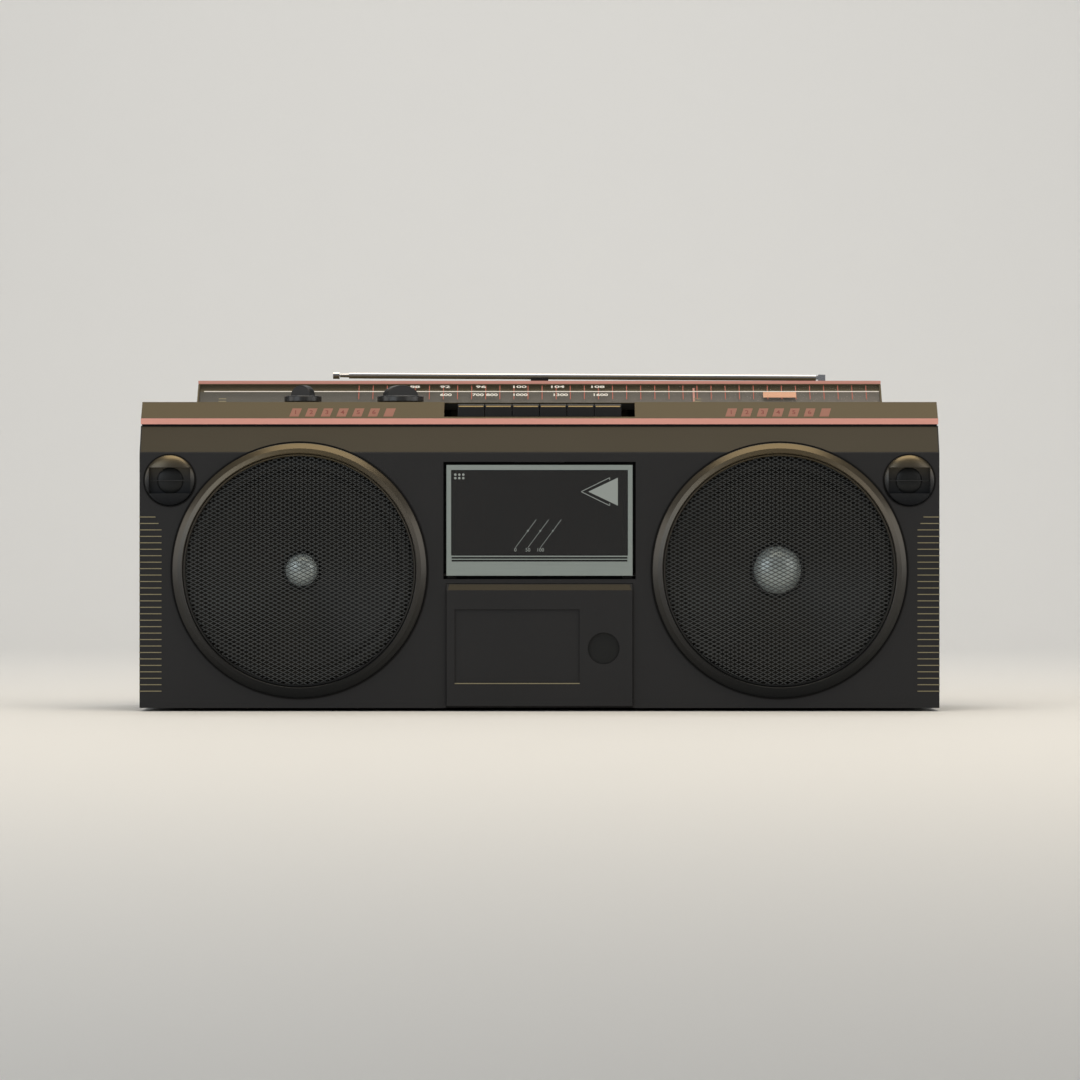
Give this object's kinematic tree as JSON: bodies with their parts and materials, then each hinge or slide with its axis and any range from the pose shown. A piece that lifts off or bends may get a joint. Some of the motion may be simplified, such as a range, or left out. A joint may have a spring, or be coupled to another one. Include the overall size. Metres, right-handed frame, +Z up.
{
  "type": "boombox",
  "caption": "Wide portable stereo radio cassette player with round grilled speakers, a hinged cassette door, top keys and knobs, a slanted tuning dial and a telescopic antenna.",
  "frame": {"origin": "centre of the bounding box in plan, on the surface the feet stand on", "axes": "+X across to the right, +Y towards the back, +Z up; the front faces -Y"},
  "size_m": [0.48, 0.1382, 0.2063],
  "materials": {
    "charcoal": "satin charcoal moulding",
    "bronze": "satin bronze brown",
    "salmon": "salmon pink strip",
    "silver": "dull silver",
    "smoked": "smoked clear plastic",
    "black": "black moulding",
    "chrome": "polished",
    "steel": "plain sheet and turned steel",
    "board": "green board",
    "rubber": "black rubber",
    "mesh": "black expanded mesh",
    "cone": "black paper cone",
    "gloss": "glossy black"
  },
  "bodies": {
    "case": {"front_cabinet": "charcoal", "rear_cabinet": "charcoal", "top_cover": "bronze", "dial_housing": "bronze", "front_trim": "salmon", "dial_trim": "salmon", "woofer_cap_left": "silver", "woofer_cap_right": "silver", "dial_window": "smoked", "dial_scale": "black", "key_shaft": "steel", "deck_plate": "steel", "circuit_board": "board", "foot_left": "rubber", "foot_right": "rubber", "woofer_ring_left": "charcoal", "woofer_grille_left": "mesh", "woofer_cone_left": "cone", "woofer_frame_left": "steel", "tweeter_bezel_left": "gloss", "tweeter_dome_left": "gloss", "woofer_ring_right": "charcoal", "woofer_grille_right": "mesh", "woofer_cone_right": "cone", "woofer_frame_right": "steel", "tweeter_bezel_right": "gloss", "tweeter_dome_right": "gloss"},
    "door": {"cassette_door": "silver", "cassette_window": "smoked", "cassette_holder": "black"},
    "flap": {"preset_door": "charcoal"},
    "battery_lid": {"battery_door": "charcoal"},
    "handle": {"carry_handle": "charcoal"},
    "antenna_base": {"antenna_post": "chrome"},
    "antenna_outer": {"antenna_tube": "chrome"},
    "antenna_second": {"antenna_middle": "chrome"},
    "antenna_inner": {"antenna_rod": "chrome"},
    "volume": {"volume_knob": "black"},
    "tuning": {"tuning_knob": "black"},
    "pointer": {"dial_pointer": "salmon"},
    "head": {"head_block": "steel"},
    "capstan": {"capstan_flywheel": "steel"},
    "supply": {"supply_spindle": "black"},
    "takeup": {"takeup_spindle": "black"},
    "record_button": {"record_key": "black"},
    "play_button": {"play_key": "black"},
    "rewind_button": {"rewind_key": "black"},
    "forward_button": {"forward_key": "black"},
    "stop_button": {"stop_key": "black"},
    "pause_button": {"pause_key": "black"}
  },
  "joints": [
    {"name": "door_hinge", "type": "hinge", "parent": "case", "child": "door", "pos_m": [0, -0.0615, 0.0817], "axis": [1, 0, 0], "range_deg": [0, 32]},
    {"name": "flap_hinge", "type": "hinge", "parent": "case", "child": "flap", "pos_m": [0, -0.0623, 0.005], "axis": [1, 0, 0], "range_deg": [0, 85]},
    {"name": "battery_hinge", "type": "hinge", "parent": "case", "child": "battery_lid", "pos_m": [0, 0.0544, 0.0091], "axis": [-1, 0, 0], "range_deg": [0, 90]},
    {"name": "handle_hinge", "type": "hinge", "parent": "case", "child": "handle", "pos_m": [0, 0.0641, 0.1616], "axis": [1, 0, 0], "range_deg": [0, 180]},
    {"name": "antenna_swivel", "type": "hinge", "parent": "case", "child": "antenna_base", "pos_m": [0.1737, 0.0159, 0.2027], "axis": [0, 0, 1], "range_deg": [-180, 0]},
    {"name": "antenna_lift", "type": "hinge", "parent": "antenna_base", "child": "antenna_outer", "pos_m": [0.1737, 0.0159, 0.2027], "axis": [0, 1, 0], "range_deg": [0, 90]},
    {"name": "antenna_slide_1", "type": "slide", "parent": "antenna_outer", "child": "antenna_second", "axis": [-1, 0, 0.0049], "range_m": [0, 0.25]},
    {"name": "antenna_slide_2", "type": "slide", "parent": "antenna_second", "child": "antenna_inner", "axis": [-1, 0, 0.0049], "range_m": [0, 0.25]},
    {"name": "volume_turn", "type": "hinge", "parent": "case", "child": "volume", "pos_m": [-0.1437, -0.02605, 0.1865], "axis": [0, 0, 1], "range_deg": [-150, 150]},
    {"name": "tuning_turn", "type": "hinge", "parent": "case", "child": "tuning", "pos_m": [-0.0844, -0.02605, 0.1865], "axis": [0, 0, 1], "range_deg": [-1200, 600]},
    {"name": "pointer_slide", "type": "slide", "parent": "case", "child": "pointer", "axis": [1, 0, 0], "range_m": [-0.2, 0.1]},
    {"name": "head_slide", "type": "slide", "parent": "case", "child": "head", "axis": [0, 0, -1], "range_m": [0, 0.004]},
    {"name": "capstan_spin", "type": "hinge", "parent": "case", "child": "capstan", "pos_m": [0.02, -0.0441, 0.1367], "axis": [0, 1, 0], "continuous": true},
    {"name": "supply_spin", "type": "hinge", "parent": "case", "child": "supply", "pos_m": [-0.02125, -0.0441, 0.1127], "axis": [0, 1, 0], "continuous": true},
    {"name": "takeup_spin", "type": "hinge", "parent": "case", "child": "takeup", "pos_m": [0.02125, -0.0441, 0.1127], "axis": [0, 1, 0], "continuous": true},
    {"name": "record_press", "type": "hinge", "parent": "case", "child": "record_button", "pos_m": [-0.04125, -0.0198, 0.17925], "axis": [1, 0, 0], "range_deg": [0, 8], "stiffness_Nm_per_rad": 0.6},
    {"name": "play_press", "type": "hinge", "parent": "case", "child": "play_button", "pos_m": [-0.02475, -0.0198, 0.17925], "axis": [1, 0, 0], "range_deg": [0, 8], "stiffness_Nm_per_rad": 0.6},
    {"name": "rewind_press", "type": "hinge", "parent": "case", "child": "rewind_button", "pos_m": [-0.00825, -0.0198, 0.17925], "axis": [1, 0, 0], "range_deg": [0, 8], "stiffness_Nm_per_rad": 0.6},
    {"name": "forward_press", "type": "hinge", "parent": "case", "child": "forward_button", "pos_m": [0.00825, -0.0198, 0.17925], "axis": [1, 0, 0], "range_deg": [0, 8], "stiffness_Nm_per_rad": 0.6},
    {"name": "stop_press", "type": "hinge", "parent": "case", "child": "stop_button", "pos_m": [0.02475, -0.0198, 0.17925], "axis": [1, 0, 0], "range_deg": [0, 8], "stiffness_Nm_per_rad": 0.6},
    {"name": "pause_press", "type": "hinge", "parent": "case", "child": "pause_button", "pos_m": [0.04125, -0.0198, 0.17925], "axis": [1, 0, 0], "range_deg": [0, 8], "stiffness_Nm_per_rad": 0.6}
  ],
  "couplings": [
    {"joint": "pointer_slide", "follows": "tuning_turn", "m_per_rad": 0.00954},
    {"joint": "play_press", "follows": "head_slide", "rad_per_m": 34.9}
  ]
}
